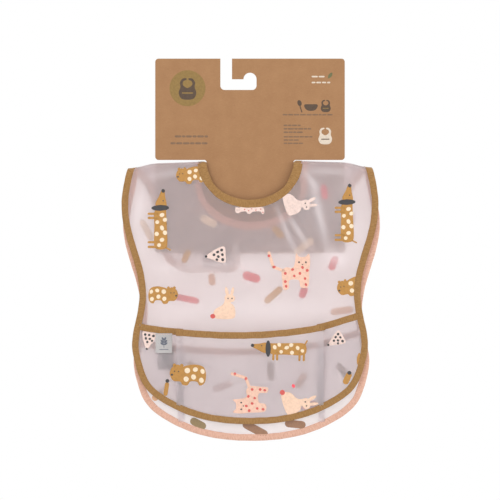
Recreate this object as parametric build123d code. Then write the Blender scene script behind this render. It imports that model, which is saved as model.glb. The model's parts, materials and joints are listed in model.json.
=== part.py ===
from build123d import *
import os

# Two baby bibs of frosted film in their retail pack. Each bib is a film body with sewn fabric
# binding, a crumb pocket and two straps, and both are worn by one hanging card: the bodies hang in
# front of the card's lower panel, and the straps fold back over its top edge and close behind it.
#
# Frame: +Z up, +X to the right and the front faces -Y. The origin is the centre of the round seat
# for the display hook, in the middle of the card's thickness. Shapes are drawn from the card's
# shoulder edge, where the straps fold, and moved to the origin when they are written.

# Header card
CARD_THICK = 0.6
CARD_HALF_WIDTH = 99.5
CARD_TOP = 111.7
CARD_BOTTOM = -92.4
CARD_CORNER = 3.5
CARD_NECK_HALF = 47.0
STRAP_SLOT = 5.25
SLOT_RELIEF_RADIUS = 1.3
SLOT_RELIEF_Z = 3.4
SHOULDER_EDGE_Z = -90.0

# Hook cut-out, from the seat's centre
HOOK_SEAT_RADIUS = 6.85
HOOK_CHANNEL = 12.2
HOOK_CHANNEL_LEFT = -31.1
HOOK_CHANNEL_DROP = 11.2
HOOK_CORNER = 4.5

# Sheet goods
FILM_THICK = 0.3
BINDING_THICK = 1.2
BINDING_WIDTH = 7.0
NECK_BINDING_EXTRA = 1.5
FILM_TUCK = 6.0
BINDING_ENDS_THICK = 0.8
GAP = 0.3

# Bib outline, from the shoulder edge: right-hand half from the fold to the bottom
OUTLINE = [
    (125.5, 20.0),
    (128.0, -3.0),
    (134.7, -40.0),
    (130.0, -74.6),
    (120.5, -106.0),
    (116.0, -138.6),
    (119.7, -162.8),
    (123.7, -189.0),
    (120.0, -210.0),
    (111.0, -232.0),
    (88.2, -251.0),
    (60.4, -263.6),
]
OUTLINE_BOTTOM = -272.0

# Crumb pocket, from the shoulder edge
MOUTH_HALF_SPAN = 118.0
MOUTH_LOW = -174.5
MOUTH_RISE = 14.5
PANEL_HALF_WIDTH = 77.0
PANEL_CLEARANCE = 1.0
PLEAT_LAP = 3.0
POCKET_HINGE_Z = -247.0

# Label, straps and closure
LABEL_SIZE = (17.5, 21.5)
LABEL_THICK = 0.5
LABEL_CENTRE_X = -90.2
LABEL_TOP = -175.6
STRAP_WIDTH = 47.0
STRAP_END_CORNER = 12.0
STRAP_BEND_X = 66.0
PATCH_SIZE = (30.0, 26.0)
PATCH_THICK = 0.7
PATCH_CORNER = 3.0
HINGE_GAP = 2.0

# A strap's outer edge behind the card: how far in from the edge of the fold, with the height as a
# share of the strap's depth for the two lower points, and a true height for the upper one
STRAP_EDGE_SHARES = [(34.0, 0.86), (29.0, 0.6)]
STRAP_EDGE_SHOULDER = (18.0, -24.0)

# Where each bib sits: depth of its film, how far it hangs lower and to the right, its neck
# opening, the height of its fold, and where its left and right straps lie and end behind the card
BIBS = {
    "front": {
        "film_y": -4.5,
        "drop": 0.0,
        "shift": 0.0,
        "neck_half": 47.6,
        "neck_centre": 4.0,
        "neck_low": -36.5,
        "fold_z": -1.5,
        "fold_half_width": 127.9,
        "back_neck_low": {"left": -46.0, "right": -46.0},
        "strap_y": {"left": 4.7, "right": 6.7},
        "strap_end": {"left": 24.0, "right": -24.0},
        "pocket_tilt": 6.0,
        "label_gap": GAP,
    },
    "rear": {
        "film_y": -1.2,
        "drop": 17.5,
        "shift": 1.5,
        "neck_half": 52.0,
        "neck_centre": -20.0,
        "neck_low": -59.5,
        "fold_z": 0.0,
        "fold_half_width": 125.8,
        "back_neck_low": {"left": -66.0, "right": -44.0},
        "strap_y": {"left": 1.2, "right": 3.2},
        "strap_end": {"left": -12.0, "right": -60.0},
        "pocket_tilt": 0.6,
        "label_gap": 0.0,
    },
}

# Drawing aids: past every edge of the pack, past every fold and neck, past an edge that is cut,
# points along a fitted edge, how much wider than its span the mouth is drawn, and a touching point
FAR = 400.0
ABOVE = 100.0
OVERRUN = 1.0
BODY_STEPS = 48
STRAP_STEPS = 12
MOUTH_REACH = 1.2
TOUCHING = 0.01
FRONT_DIRECTION = (0, -1, 0)


def plate(face, y_front, y_back):
    """Upright plate with the outline of a face drawn in X and Z, between two depths."""
    placed = Plane.XZ.offset(-y_back) * face
    return extrude(placed, amount=y_back - y_front, dir=FRONT_DIRECTION)


def band(x_low, x_high, z_low, z_high):
    """Rectangle in X and Z, from its edges."""
    middle = Pos((x_low + x_high) / 2, (z_low + z_high) / 2)
    return middle * Rectangle(x_high - x_low, z_high - z_low)


def rounded_at(face, chooser, radius):
    """Face with its chosen corners rounded."""
    return fillet([v for v in face.vertices() if chooser(v)], radius)


def header_card():
    """Kraft card: upper panel, narrow neck, lower panel and the cut-out for a display hook."""
    upper = RectangleRounded(2 * CARD_HALF_WIDTH, CARD_TOP - STRAP_SLOT, CARD_CORNER)
    lower = RectangleRounded(2 * CARD_HALF_WIDTH, -CARD_BOTTOM, CARD_CORNER)
    face = Pos(0, (CARD_TOP + STRAP_SLOT) / 2) * upper
    face += Pos(0, CARD_BOTTOM / 2) * lower
    face += band(-CARD_NECK_HALF, CARD_NECK_HALF, -OVERRUN, STRAP_SLOT + OVERRUN)
    for side in (-1, 1):
        face -= Pos(side * CARD_NECK_HALF, SLOT_RELIEF_Z) * Circle(SLOT_RELIEF_RADIUS)

    seat_z = -SHOULDER_EDGE_Z
    channel = band(
        HOOK_CHANNEL_LEFT, HOOK_SEAT_RADIUS, seat_z - HOOK_CHANNEL_DROP, seat_z
    )
    channel = rounded_at(channel, lambda v: v.Y < seat_z - HOOK_CORNER, HOOK_CORNER)
    entry_right = HOOK_CHANNEL_LEFT + HOOK_CHANNEL
    entry = band(HOOK_CHANNEL_LEFT, entry_right, seat_z - OVERRUN, CARD_TOP + OVERRUN)
    face -= channel
    face -= entry
    face -= Pos(0, seat_z) * Circle(HOOK_SEAT_RADIUS)
    return plate(face, -CARD_THICK / 2, CARD_THICK / 2)


def inset_curve(curve, inset, steps):
    """Smooth curve that runs beside another one, this far to the left of its direction."""
    points = []
    for step in range(steps + 1):
        tangent = curve % (step / steps)
        points.append(curve @ (step / steps) + Vector(-tangent.Y, tangent.X) * inset)
    return Spline(points)


def body_outline(bib, inset=0.0):
    """Filled outline of a bib's body, running on above the shoulder edge."""
    left = [(-x, z) for x, z in OUTLINE]
    right = [(x, z) for x, z in reversed(OUTLINE)]
    curve = Spline([*left, (0.0, OUTLINE_BOTTOM), *right])
    if inset > 0:
        curve = inset_curve(curve, inset, BODY_STEPS)
    face = make_face([*curve.edges(), *Line(curve @ 1, curve @ 0).edges()])
    return Pos(bib["shift"], -bib["drop"]) * face


def neck_hole(bib, grow_x=0.0, grow_z=0.0):
    """Neck opening: a half ellipse below, straight sides above. It can be drawn larger."""
    half = bib["neck_half"] + grow_x
    centre = Pos(bib["shift"], bib["neck_centre"])
    hole = centre * Ellipse(half, bib["neck_centre"] - bib["neck_low"] + grow_z)
    x = bib["shift"]
    return hole + band(x - half, x + half, bib["neck_centre"], ABOVE)


def below(z):
    """Everything lower than a height."""
    return band(-FAR, FAR, -FAR, z)


def pocket_mouth(bib, lower=0.0):
    """Everything under the pocket's top edge, which sags between the sides."""
    x = bib["shift"]
    low = MOUTH_LOW - bib["drop"] - lower
    high = low + MOUTH_RISE * MOUTH_REACH**2
    half = MOUTH_HALF_SPAN * MOUTH_REACH
    edge = ThreePointArc((x + half, high), (x, low), (x - half, high))
    sides = Polyline((x - half, high), (x - half, -FAR), (x + half, -FAR), (x + half, high))
    return make_face([*edge.edges(), *sides.edges()])


def rim_front(bib):
    """Depth of the front face of the pocket's rim, which lies on the body film."""
    return bib["film_y"] - FILM_THICK * 1.5


def body_parts(bib):
    """Body film, its outer binding and its neck binding, each a flat sheet, and the pocket's rim.

    The binding is a folded tape: the film and the pocket's edge are tucked inside it.
    """
    outline = body_outline(bib)
    top = below(bib["fold_z"] - HINGE_GAP)
    tuck = BINDING_WIDTH - FILM_TUCK
    tucked = body_outline(bib, tuck)
    inside = body_outline(bib, BINDING_WIDTH)
    film_face = tucked - neck_hole(bib, tuck, tuck)
    film_face = film_face & top
    y = bib["film_y"]
    film = plate(film_face, y - FILM_THICK / 2, y + FILM_THICK / 2)

    window = band(
        bib["shift"] - PANEL_HALF_WIDTH + PLEAT_LAP,
        bib["shift"] + PANEL_HALF_WIDTH - PLEAT_LAP,
        POCKET_HINGE_Z - bib["drop"] - PANEL_CLEARANCE,
        0.0,
    )
    rim_face = (tucked & pocket_mouth(bib, tuck)) - window
    rim = plate(rim_face, rim_front(bib), y - FILM_THICK / 2)

    half = BINDING_THICK / 2
    outer_face = (outline - inside) & top
    outer = plate(outer_face, y - half, y + half) - film - rim

    neck_wide = neck_hole(bib, BINDING_WIDTH, BINDING_WIDTH + NECK_BINDING_EXTRA)
    neck_face = (neck_wide - neck_hole(bib)) & top
    neck = plate(neck_face, y - half, y + half) - film

    ends_face = pocket_mouth(bib) - pocket_mouth(bib, BINDING_WIDTH)
    ends_face = ends_face & inside
    middle = bib["shift"]
    clear = PANEL_HALF_WIDTH + PANEL_CLEARANCE
    ends_face = ends_face - band(middle - clear, middle + clear, -FAR, 0.0)
    ends = plate(ends_face, rim_front(bib) - BINDING_ENDS_THICK, y - FILM_THICK / 2) - rim
    return {
        "body_film": film,
        "body_binding": outer,
        "neck_binding": neck,
        "pocket_rim_film": rim,
        "pocket_binding_ends": ends,
    }


def pocket_hinge_y(bib):
    """Depth of the fold along the pocket panel's lower edge."""
    return rim_front(bib) - GAP - FILM_THICK / 2


def pocket_parts(bib):
    """Pocket's front panel and the binding of its mouth, leaning forward from the lower fold."""
    x = bib["shift"]
    low = POCKET_HINGE_Z - bib["drop"]
    panel_band = band(x - PANEL_HALF_WIDTH, x + PANEL_HALF_WIDTH, low, 0.0)
    y = pocket_hinge_y(bib)
    film_face = pocket_mouth(bib, BINDING_WIDTH - FILM_TUCK) & panel_band
    film = plate(film_face, y - FILM_THICK / 2, y + FILM_THICK / 2)
    tape_face = (pocket_mouth(bib) - pocket_mouth(bib, BINDING_WIDTH)) & panel_band
    tape = plate(tape_face, y - BINDING_THICK / 2, y + BINDING_THICK / 2) - film
    lean = Axis((0, y, low), (1, 0, 0))
    return {
        "pocket_film": film.rotate(lean, bib["pocket_tilt"]),
        "pocket_binding": tape.rotate(lean, bib["pocket_tilt"]),
    }


def woven_label(bib):
    """Small folded label sewn below the pocket's binding, on the left."""
    width, height = LABEL_SIZE
    top = LABEL_TOP - bib["drop"]
    x = bib["shift"] + LABEL_CENTRE_X
    back = rim_front(bib) - bib["label_gap"]
    face = band(x - width / 2, x + width / 2, top - height, top)
    return plate(face, back - LABEL_THICK, back)


def strap_face(bib, side, inset=0.0):
    """Right-hand strap as it hangs behind the card: it curves round the neck to its own end."""
    back_neck = bib["back_neck_low"][side]
    low = back_neck - STRAP_WIDTH
    edge = bib["fold_half_width"]
    lower = [(edge - inward, share * low) for inward, share in STRAP_EDGE_SHARES]
    shoulder = (edge - STRAP_EDGE_SHOULDER[0], STRAP_EDGE_SHOULDER[1])
    outer = Spline(
        [(STRAP_BEND_X, low), *lower, shoulder, (edge, bib["fold_z"])],
        tangents=[(1.0, 0.0), (0.5, 1.0)],
    )
    if inset > 0:
        outer = inset_curve(outer, inset, STRAP_STEPS)
    corner = outer @ 1
    low += inset
    around = Polyline(corner, (corner.X, ABOVE), (-ABOVE, ABOVE), (-ABOVE, low), outer @ 0)
    face = make_face([*outer.edges(), *around.edges()])
    half = bib["neck_half"] + inset
    neck_low = back_neck - inset
    face -= Ellipse(half, -neck_low)
    face -= band(-half, half, 0.0, ABOVE)
    face -= band(-FAR, 0.0, neck_low, ABOVE)
    end = bib["strap_end"][side] * (1 if side == "right" else -1) + inset
    face -= band(-FAR, end, -FAR, FAR)
    return rounded_at(face, lambda v: abs(v.X - end) < TOUCHING, STRAP_END_CORNER - inset)


def strap_parts(bib, side):
    """One strap's film and the binding around its long edges and its end."""
    top = below(bib["fold_z"] - HINGE_GAP)
    y = bib["strap_y"][side]
    film_face = strap_face(bib, side, BINDING_WIDTH - FILM_TUCK) & top
    film = plate(film_face, y - FILM_THICK / 2, y + FILM_THICK / 2)
    tape_face = (strap_face(bib, side) - strap_face(bib, side, BINDING_WIDTH)) & top
    tape = plate(tape_face, y - BINDING_THICK / 2, y + BINDING_THICK / 2) - film
    if side == "left":
        film = mirror(film, about=Plane.YZ)
        tape = mirror(tape, about=Plane.YZ)
    aside = Pos(bib["shift"], 0, 0)
    return {"strap_film": aside * film, "strap_binding": aside * tape}


def fold_strip(bib, side, x_near, x_far, thick):
    """Strip of a strap bent over the card's shoulder edge, as a half ring along X."""
    y_back = bib["strap_y"][side]
    radius = (y_back - bib["film_y"]) / 2
    middle = (y_back + bib["film_y"]) / 2
    section = Circle(radius + thick / 2) - Circle(radius - thick / 2)
    section = section & band(-FAR, FAR, 0.0, FAR)
    sign = -1 if side == "left" else 1
    x_start = bib["shift"] + min(sign * x_near, sign * x_far)
    placed = Plane.YZ.offset(x_start) * (Pos(middle, bib["fold_z"]) * section)
    return extrude(placed, amount=x_far - x_near, dir=(1, 0, 0))


def shoulder_parts(bib, side):
    """The stretch of film and its two bound edges that bend over the card."""
    inner = bib["neck_half"]
    outer = bib["fold_half_width"]
    tuck = BINDING_WIDTH - FILM_TUCK
    film = fold_strip(bib, side, inner + tuck, outer - tuck, FILM_THICK)
    tapes = fold_strip(bib, side, inner, inner + BINDING_WIDTH, BINDING_THICK)
    tapes += fold_strip(bib, side, outer - BINDING_WIDTH, outer, BINDING_THICK)
    return {"shoulder_film": film, "shoulder_binding": tapes - film}


def closure_patch(bib, side):
    """Hook or loop patch: on the outer face of the left strap or the inner face of the right."""
    ends = bib["strap_end"]
    x = bib["shift"] + (ends["left"] + ends["right"]) / 2
    z = bib["back_neck_low"][side] - STRAP_WIDTH / 2
    face = Pos(x, z) * RectangleRounded(*PATCH_SIZE, PATCH_CORNER)
    y = bib["strap_y"][side]
    if side == "left":
        return plate(face, y + FILM_THICK / 2, y + FILM_THICK / 2 + PATCH_THICK)
    return plate(face, y - FILM_THICK / 2 - PATCH_THICK, y - FILM_THICK / 2)


def bib_nodes(name, bib):
    """Every piece of one bib, by node name."""
    nodes = {}
    for piece, solid in {**body_parts(bib), **pocket_parts(bib)}.items():
        nodes[f"{name}_{piece}"] = solid
    nodes[f"{name}_label"] = woven_label(bib)
    for side in ("left", "right"):
        for piece, solid in {**strap_parts(bib, side), **shoulder_parts(bib, side)}.items():
            nodes[f"{name}_{side}_{piece}"] = solid
    nodes[f"{name}_loop_patch"] = closure_patch(bib, "left")
    nodes[f"{name}_hook_patch"] = closure_patch(bib, "right")
    return nodes


def as_one_shape(shape):
    """A single solid, or a compound where a node is a group of separate solids."""
    pieces = shape if isinstance(shape, list) else [shape]
    solids = [solid for piece in pieces for solid in piece.solids()]
    if len(solids) == 1:
        return solids[0]
    return Compound(children=solids)


def write_parts(nodes):
    """One STEP file for each node, moved so that the hook seat is the origin."""
    os.makedirs("parts", exist_ok=True)
    for name, shape in nodes.items():
        placed = Pos(0, 0, SHOULDER_EDGE_Z) * as_one_shape(shape)
        placed.label = name
        export_step(placed, f"parts/{name}.step")


all_nodes = {"header_card": header_card()}
for bib_name, bib_values in BIBS.items():
    all_nodes.update(bib_nodes(bib_name, bib_values))
write_parts(all_nodes)
print(len(all_nodes), "nodes written")
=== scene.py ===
import json
import math
import random
from functools import partial

import bmesh
import bpy
import numpy as np
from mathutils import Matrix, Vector
from mathutils.geometry import delaunay_2d_cdt


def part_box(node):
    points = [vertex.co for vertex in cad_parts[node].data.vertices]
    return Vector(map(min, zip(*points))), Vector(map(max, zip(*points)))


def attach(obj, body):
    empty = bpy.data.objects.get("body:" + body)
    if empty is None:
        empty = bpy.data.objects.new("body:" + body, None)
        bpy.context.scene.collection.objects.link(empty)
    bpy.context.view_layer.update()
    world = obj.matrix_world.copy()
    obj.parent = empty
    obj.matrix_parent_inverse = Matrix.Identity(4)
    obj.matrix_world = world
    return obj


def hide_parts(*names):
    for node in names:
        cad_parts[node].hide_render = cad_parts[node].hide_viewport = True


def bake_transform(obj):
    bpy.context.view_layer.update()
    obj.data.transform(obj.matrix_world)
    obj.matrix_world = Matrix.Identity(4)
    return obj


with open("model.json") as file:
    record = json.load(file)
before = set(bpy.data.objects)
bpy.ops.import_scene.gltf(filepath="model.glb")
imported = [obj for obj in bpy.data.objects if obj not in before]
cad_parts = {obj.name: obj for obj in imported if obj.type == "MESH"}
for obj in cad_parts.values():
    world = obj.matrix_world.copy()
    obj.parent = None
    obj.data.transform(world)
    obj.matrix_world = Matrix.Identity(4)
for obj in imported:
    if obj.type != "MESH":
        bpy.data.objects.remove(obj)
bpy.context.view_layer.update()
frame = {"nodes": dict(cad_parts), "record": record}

# Two film bibs on a hanging card. Flat patterns are drawn in millimetres: u runs to the right from
# the middle of a bib, and v runs up from the shoulder edge of the card. The functions called
# on_... say where a point of a flat pattern lies in the pack, in millimetres, and how far it is
# lifted off the sheet. Objects are made in metres.
MM = 0.001
SIGN = {"left": -1, "right": 1}

HINGES = {j["name"]: Vector(j["pos_m"]) / MM for j in frame["record"]["behaviour"]["joints"]}
SHOULDER_Z = HINGES["rear_bib_lift"].z

# ---------------------------------------------------------------- flat patterns, as in the CAD
# Right half of a body's outer edge, from the shoulder down to the middle of its lower edge
OUTLINE = [
    (128.0, -3.0), (134.7, -40.0), (130.0, -74.6), (120.5, -106.0), (116.0, -138.6), (119.7, -162.8),
    (123.7, -189.0), (120.0, -210.0), (111.0, -232.0), (88.2, -251.0), (60.4, -263.6),
]
OUTLINE_BOTTOM = -272.0
FILM_THICK = 0.3
TUCK = 1.0  # the film's edge lies this far inside its tape's fold
TAPE_WIDTH = 7.0
TAPE_THICK = 1.2
NECK_TAPE_EXTRA = 1.5
NECK_TAPE_PULL = 1.9
POCKET_SEAM_SWELL = 0.45
SAG_START, CARD_HALF_WIDTH, SAG_END = 55.0, 96.0, 128.0
STRAP_WIDTH = 47.0
STRAP_END_CORNER = 12.0
MOUTH_HALF_SPAN = 118.0
MOUTH_LOW = -174.5
MOUTH_RISE = 14.5
MOUTH_SKEW = 0.03
MOUTH_TIP_RISE = 3.0
MOUTH_TIP_DROP = 2.0
MOUTH_TAPE_LIFT = 0.35
PANEL_HALF_WIDTH = 77.0
PLEAT_FOLD_U = 70.0
PLEAT_WIDTH = 7.0
POCKET_HINGE_V = -247.0
POCKET_INSET = 4.5  # the pocket's film is sewn in this far inside the outer edge
LABEL_U = -90.2
LABEL_WIDTH = 17.5
LABEL_HEIGHT = 20.6
LABEL_TOP = -176.6
LABEL_THICK = 0.5
PATCH_CORNER = 3.0

SEAM_PLACE = 0.8  # of the tape's width, from its outer fold
STITCH_PITCH = 3.0
STITCH_LENGTH = 2.1
STITCH_RADIUS = 0.2
STITCH_LIFT = 0.432
MOUTH_STITCH_LIFT = 0.34
SHEET_STEP = 2.6
TAPE_STEP = 1.5
INK_STEP = 2.2
INK_THICK = 0.03
INK_LAYER = 0.04

# Soft folds of the hanging films: start, end, width and height of each
FRONT_FOLDS = [
    (22, -40, 72, -96, 3.2, 0.9),
    (40, -30, 66, -88, 2.6, 0.7),
    (52, -14, 84, -84, 3.0, 0.8),
    (60, -4, 104, -40, 4.0, 0.6),
    (-44, -22, -86, -70, 5.0, 0.5),
    (-112, -8, -124, -60, 4.0, 0.6),
    (112, -8, 122, -70, 4.0, 0.6),
    (-70, -104, 20, -112, 7.0, 0.6),
    (-100, -160, 96, -150, 11.0, 0.9),
    (-104, -124, -40, -146, 6.0, 0.5),
    (60, -128, 108, -146, 6.0, 0.5),
]
REAR_FOLDS = [
    (30, -62, 74, -120, 4.0, 0.6),
    (-40, -70, -90, -120, 5.0, 0.5),
    (-60, -150, 60, -160, 10.0, 0.5),
]

# Painted highlights, where the film is drawn whiter than usual to stand for light caught by its creases and
# a glare band: start, end, width and strength of each streak
FRONT_PAINTED_HIGHLIGHTS = [
    (26, -40, 50, -98, 2.6, 0.5),
    (40, -52, 62, -88, 2.8, 0.6),
    (64, -14, 82, -92, 4.5, 0.55),
    (54, -4, 74, -28, 4.0, 0.5),
    (58, -6, 108, -8, 3.5, 0.45),
    (-60, -4, -112, -14, 4.0, 0.35),
    (76, -90, 104, -104, 9.0, 0.6),
    (-112, -106, -20, -112, 4.0, 0.35),
    (-16, -80, -12, -112, 2.6, 0.3),
    (-118, -152, 118, -152, 13.0, 0.32),
    (-110, -20, -122, -70, 4.0, 0.3),
    (-114, -30, -116, -120, 9.0, 0.25),
    (98, -12, 118, -110, 11.0, 0.3),
    (-70, -106, 70, -110, 9.0, 0.22),
    (34, -24, 96, -60, 22.0, 0.14),
]
REAR_PAINTED_HIGHLIGHTS = [
    (30, -62, 74, -120, 4.0, 0.3),
]

# Sizes that differ between the bibs, and where their bends start and end, below the fold
BIBS = {
    "front": {
        "tape": "mustard_binding",
        "neck_half": 47.6,
        "neck_centre": 4.0,
        "neck_low": -36.5,
        "back_neck_low": {"left": -46.0, "right": -46.0},
        "fold_half_width": 127.9,
        "strap_end": {"left": 24.0, "right": -24.0},
        "pocket_lean": 6.0,
        "pocket_bulge": 1.6,
        "label_gap": 0.3,
        "sag_on_card": 1.4,
        "sag_outside": 5.6,
        "folds": FRONT_FOLDS,
        "painted_highlight": FRONT_PAINTED_HIGHLIGHTS,
        "ripple": 0.35,
        "bend": (2.0, 18.0),
        "strap_bend": 7.5,
    },
    "rear": {
        "tape": "pink_binding",
        "neck_half": 52.0,
        "neck_centre": -20.0,
        "neck_low": -59.5,
        "back_neck_low": {"left": -66.0, "right": -44.0},
        "fold_half_width": 125.8,
        "strap_end": {"left": -12.0, "right": -60.0},
        "pocket_lean": 0.6,
        "pocket_bulge": 0.0,
        "label_gap": 0.0,
        "sag_on_card": 0.7,
        "sag_outside": 6.1,
        "folds": REAR_FOLDS,
        "painted_highlight": REAR_PAINTED_HIGHLIGHTS,
        "ripple": 0.2,
        "bend": (5.0, 20.0),
        "strap_bend": 12.0,
    },
}


def middle_of(node):
    """Centre of a CAD node's box, in millimetres."""
    low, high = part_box(node)
    return (low + high) / 2 / MM


for bib_name, bib in BIBS.items():
    film_box = [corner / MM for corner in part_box(f"{bib_name}_body_film")]
    bib["name"] = bib_name
    bib["shift"] = (film_box[0].x + film_box[1].x) / 2
    bib["film_y"] = (film_box[0].y + film_box[1].y) / 2
    bib["drop"] = SHOULDER_Z + OUTLINE_BOTTOM + TUCK - film_box[0].z
    bib["fold_v"] = HINGES[f"{bib_name}_bib_lift"].z - SHOULDER_Z
    bib["strap_y"] = {s: middle_of(f"{bib_name}_{s}_strap_film").y for s in ("left", "right")}
    bib["hinge_y"] = HINGES[f"{bib_name}_pocket_gape"].y


# ---------------------------------------------------------------- curves in the flat pattern
def smoothstep(t):
    t = np.clip(t, 0.0, 1.0)
    return t * t * (3.0 - 2.0 * t)


def lengths_along(points):
    steps = np.linalg.norm(np.diff(points, axis=0), axis=1)
    return np.concatenate([[0.0], np.cumsum(steps)])


def resample(points, step):
    """The same line with evenly spaced points."""
    points = np.array(points, float)
    along = lengths_along(points)
    wanted = np.linspace(0.0, along[-1], max(2, round(along[-1] / step) + 1))
    return np.stack([np.interp(wanted, along, points[:, i]) for i in (0, 1)], axis=1)


def resample_loop(points, step):
    """The same closed outline with evenly spaced points."""
    return resample(np.concatenate([points, points[:1]]), step)[:-1]


def upright(u, start, end, count):
    """Points up or down a line at one place across."""
    return np.stack([np.full(count, u), np.linspace(start, end, count)], axis=1)


def smooth_curve(points, step=2.0):
    """Natural cubic spline through the points, evenly sampled."""
    p = np.array(points, float)
    at = lengths_along(p)
    h = np.diff(at)
    count = len(p)
    system = np.eye(count)
    right = np.zeros((count, 2))
    for i in range(1, count - 1):
        system[i, i - 1 : i + 2] = h[i - 1], 2 * (h[i - 1] + h[i]), h[i]
        right[i] = 6 * ((p[i + 1] - p[i]) / h[i] - (p[i] - p[i - 1]) / h[i - 1])
    bend = np.linalg.solve(system, right)
    fine = np.linspace(0.0, at[-1], 40 * count)
    span = np.clip(np.searchsorted(at, fine, side="right") - 1, 0, count - 2)
    a = ((at[span + 1] - fine) / h[span])[:, None]
    b = 1.0 - a
    curve = a * p[span] + b * p[span + 1]
    curve += ((a**3 - a) * bend[span] + (b**3 - b) * bend[span + 1]) * (h[span] ** 2)[:, None] / 6
    return resample(curve, step)


def closed_curve(points, per_span=6):
    """Smooth closed outline through a few points."""
    here = np.array(points, float)
    before, ahead, beyond = (np.roll(here, shift, axis=0) for shift in (1, -1, -2))
    t = np.linspace(0.0, 1.0, per_span, endpoint=False)[:, None, None]
    curve = 2 * here + (ahead - before) * t
    curve = curve + (2 * before - 5 * here + 4 * ahead - beyond) * t**2
    curve = curve + (3 * here - before - 3 * ahead + beyond) * t**3
    return (curve / 2).transpose(1, 0, 2).reshape(-1, 2)


def left_normals(points):
    """Unit vectors to the left of a line's direction."""
    ahead = np.gradient(np.array(points, float), axis=0)
    ahead /= np.linalg.norm(ahead, axis=1)[:, None]
    return np.stack([-ahead[:, 1], ahead[:, 0]], axis=1)


def beside(points, distance):
    """The line that runs beside another one, to its left."""
    return points + left_normals(points) * distance


def sag(bib, u):
    """How far the fold over the card droops where nothing carries it."""
    out = np.abs(u)
    on_card = np.clip((out - SAG_START) / (CARD_HALF_WIDTH - SAG_START), 0.0, 1.0)
    outside = smoothstep((out - CARD_HALF_WIDTH) / (SAG_END - CARD_HALF_WIDTH))
    return bib["sag_on_card"] * on_card + bib["sag_outside"] * outside


def ring(bib, side_sign):
    """Radius and depth of the half ring that the film makes over the card, on the left or right."""
    back = np.where(side_sign < 0, bib["strap_y"]["left"], bib["strap_y"]["right"])
    return (back - bib["film_y"]) / 2, (back + bib["film_y"]) / 2


def apex_v(bib, u):
    """Height in the flat pattern of the fold's highest line."""
    radius, _ = ring(bib, u)
    return bib["fold_v"] - sag(bib, u) + radius * math.pi / 2


def body_edge(bib):
    """Outer edge of the body, from the left end of the fold, round the bottom, to the right one."""
    kept = [(u, v - bib["drop"]) for u, v in OUTLINE if v - bib["drop"] < bib["fold_v"] - 12.0]
    edge = bib["fold_half_width"]
    left = [(-edge, float(apex_v(bib, -edge)))] + [(-u, v) for u, v in kept]
    right = [(u, v) for u, v in reversed(kept)] + [(edge, float(apex_v(bib, edge)))]
    return smooth_curve([*left, (0.0, OUTLINE_BOTTOM - bib["drop"]), *right])


def neck_edge(bib):
    """Edge of the neck opening, from its right end at the fold to its left one."""
    half, centre = bib["neck_half"], bib["neck_centre"]
    turns = np.linspace(0.0, math.pi, 60)
    around = [(half * math.cos(t), centre - (centre - bib["neck_low"]) * math.sin(t)) for t in turns]
    right_end = (half, float(apex_v(bib, half)))
    left_end = (-half, float(apex_v(bib, -half)))
    return resample([right_end, *around, left_end], 2.0)


def mouth_v(bib, u):
    """Height of the pocket's top edge."""
    tips = MOUTH_TIP_RISE * smoothstep((u - 66.0) / 50.0) - MOUTH_TIP_DROP * smoothstep((-u - 50.0) / 60.0)
    return MOUTH_LOW - bib["drop"] + MOUTH_RISE * (u / MOUTH_HALF_SPAN) ** 2 + MOUTH_SKEW * u + tips


def corner_arc(before, corner, after, count=8):
    """Rounded corner from one point to another."""
    before, corner, after = (np.array(p, float) for p in (before, corner, after))
    shares = np.linspace(0.0, 1.0, count)[:, None]
    return (1 - shares) ** 2 * before + 2 * shares * (1 - shares) * corner + shares**2 * after


def strap_edge(bib, side):
    """Edge of a strap drawn as a right-hand one: from the neck, round its end, to the outside."""
    sign = SIGN[side]
    half, low_neck = bib["neck_half"], bib["back_neck_low"][side]
    low = low_neck - STRAP_WIDTH
    end = bib["strap_end"][side] * sign
    edge = bib["fold_half_width"]
    turns = np.linspace(0.0, math.pi / 2, 40)
    inner = [(half, float(apex_v(bib, sign * half)))]
    inner += [(half * math.cos(t), low_neck * math.sin(t)) for t in turns]
    inner += [(-u, low_neck) for u in range(2, 100, 4)]
    inner = [p for p in inner if p[0] >= end + STRAP_END_CORNER]
    tip_v = low_neck * math.sqrt(max(0.0, 1 - (max(end, 0.0) / half) ** 2))
    top_corner = corner_arc(inner[-1], (end, tip_v), (end, inner[-1][1] - STRAP_END_CORNER))
    low_corner = corner_arc((end, low + STRAP_END_CORNER), (end, low), (end + STRAP_END_CORNER, low))
    shoulder = [(edge - 18.0, -24.0), (edge, float(apex_v(bib, sign * edge)))]
    waist = [(edge - 34.0, 0.86 * low), (edge - 29.0, 0.6 * low)]
    outer = smooth_curve([(60.0, low), (66.0, low), *waist, *shoulder])
    return resample([*inner, *top_corner, *low_corner, *outer], 2.0)


# ---------------------------------------------------------------- where flat points lie
def in_pack(bib, u, y, v):
    """Places in the pack from places across, in depth and up."""
    return np.stack([u + bib["shift"], y, v + SHOULDER_Z], axis=1)


def ridges(rows, u, v):
    """Sum of soft ridges: start, end, width and height of each."""
    total = np.zeros_like(u)
    for u0, v0, u1, v1, width, height in rows:
        along = np.array([u1 - u0, v1 - v0], float)
        length = np.linalg.norm(along)
        along /= length
        t = ((u - u0) * along[0] + (v - v0) * along[1]) / length
        across = (u - u0) * -along[1] + (v - v0) * along[0]
        total += height * np.exp(-((across / width) ** 2)) * np.sin(math.pi * np.clip(t, 0, 1)) ** 0.7
    return total


def painted_highlight_of(bib, u, v):
    """Strength of the painted highlight that whitens the film along creases and where it is pulled taut,
    standing for the light that these catch.
    """
    return ridges(bib["painted_highlight"], u, v)


def fold_height(bib, u, v):
    """Height of the soft folds of a hanging film over its flat pattern."""
    ripple = 1 + np.sin(u / 17.0 + np.sin(v / 31.0)) * np.cos(v / 23.0 + u / 60.0)
    return ridges(bib["folds"], u, v) + bib["ripple"] * ripple


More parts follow.
